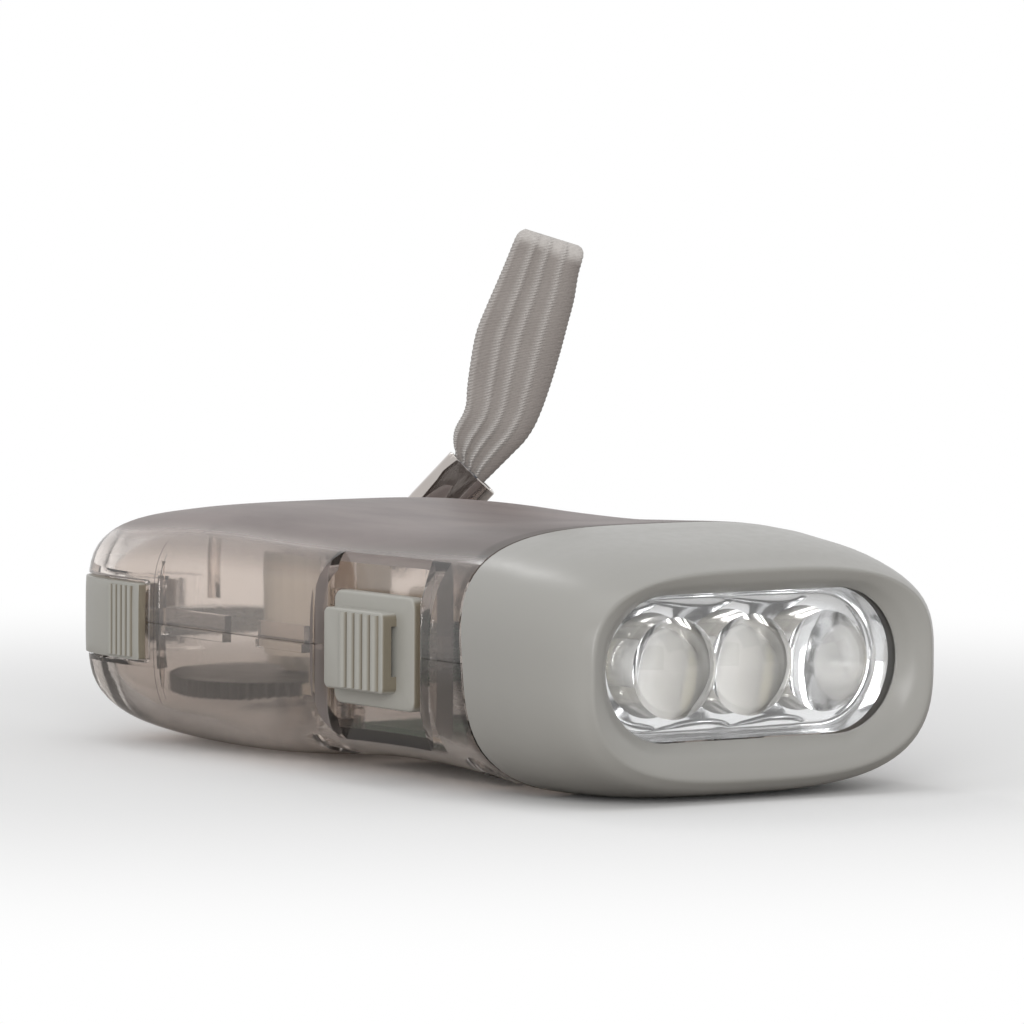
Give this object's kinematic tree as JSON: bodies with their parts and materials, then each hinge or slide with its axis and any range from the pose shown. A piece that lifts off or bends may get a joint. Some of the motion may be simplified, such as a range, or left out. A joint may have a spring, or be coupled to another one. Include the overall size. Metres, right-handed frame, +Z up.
{
  "type": "hand crank flashlight",
  "caption": "Flat hand-powered flashlight with a squeeze lever, clear smoky casing, geared generator, oval lamp window and a short wrist strap.",
  "frame": {"origin": "middle of the flat under the rear half, one of the two flats on the underside that the torch rests on", "axes": "+X from the tail to the lamps, +Y from the switch side to the lever side, +Z up"},
  "size_m": [0.1008, 0.0636, 0.0552],
  "materials": {
    "smoky_shell": "smoky clear moulded plastic",
    "head_plastic": "satin warm grey plastic",
    "slider_plastic": "satin pale grey plastic",
    "clear_lens": "clear polished plastic",
    "bright_metal": "bright plated metal",
    "steel": "plain steel",
    "dark_gear": "dark moulded gear plastic",
    "nylon": "natural nylon",
    "copper_wire": "enamelled copper wire",
    "magnet": "dark sintered magnet",
    "board": "green circuit board",
    "webbing": "pale grey ribbed webbing"
  },
  "bodies": {
    "casing": {"lower_shell": "smoky_shell", "upper_shell": "smoky_shell", "head_cover": "head_plastic", "lens": "clear_lens", "lamp_1": "clear_lens", "lamp_2": "clear_lens", "lamp_3": "clear_lens", "reflector": "bright_metal", "lower_contact": "bright_metal", "upper_contact": "bright_metal", "lever_pin": "steel", "return_spring": "steel", "first_axle": "steel", "second_axle": "steel", "rotor_axle": "steel", "switch_body": "steel", "strap_stud": "steel", "cell": "steel", "case_screw_1": "steel", "case_screw_2": "steel", "case_screw_3": "steel", "case_screw_4": "steel", "generator_can": "nylon", "coil_bobbin": "nylon", "coil_winding": "copper_wire", "lamp_board": "board", "circuit_board": "board"},
    "lever": {"squeeze_lever": "smoky_shell", "sector_gear": "nylon"},
    "first_gear": {"first_gear": "nylon"},
    "second_gear": {"second_wheel": "dark_gear", "second_pinion": "nylon"},
    "rotor": {"rotor_pinion": "nylon", "ring_magnet": "magnet"},
    "light_switch": {"switch_slider": "slider_plastic"},
    "lever_lock": {"lock_slider": "slider_plastic", "lock_bar": "steel"},
    "strap": {"strap_ferrule": "bright_metal", "wrist_strap": "webbing"}
  },
  "joints": [
    {"name": "lever_swing", "type": "hinge", "parent": "casing", "child": "lever", "pos_m": [0.04452, 0.016, 0.0136], "axis": [0, 0, -1], "range_deg": [0, 22]},
    {"name": "first_gear_spin", "type": "hinge", "parent": "casing", "child": "first_gear", "pos_m": [0.00463, 0.00899, 0.0116], "axis": [0, 0, 1], "range_deg": [0, 177]},
    {"name": "second_gear_spin", "type": "hinge", "parent": "casing", "child": "second_gear", "pos_m": [-0.00428, -0.0049, 0.0076], "axis": [0, 0, -1], "range_deg": [0, 655]},
    {"name": "rotor_spin", "type": "hinge", "parent": "casing", "child": "rotor", "pos_m": [0.01102, -0.01184, 0.0136], "axis": [0, 0, 1], "range_deg": [0, 3830]},
    {"name": "switch_slide", "type": "slide", "parent": "casing", "child": "light_switch", "axis": [1, 0, 0], "range_m": [-0.002, 0.002]},
    {"name": "lock_slide", "type": "slide", "parent": "casing", "child": "lever_lock", "axis": [-1, 0, 0], "range_m": [0, 0.003]},
    {"name": "strap_swing", "type": "hinge", "parent": "casing", "child": "strap", "pos_m": [-0.02559, 0.02119, 0.019], "axis": [-0.829, 0.5592, 0], "range_deg": [-45, 130]}
  ],
  "couplings": [
    {"joint": "first_gear_spin", "follows": "lever_swing", "ratio": 8},
    {"joint": "second_gear_spin", "follows": "lever_swing", "ratio": 29.714},
    {"joint": "rotor_spin", "follows": "lever_swing", "ratio": 174.04}
  ]
}
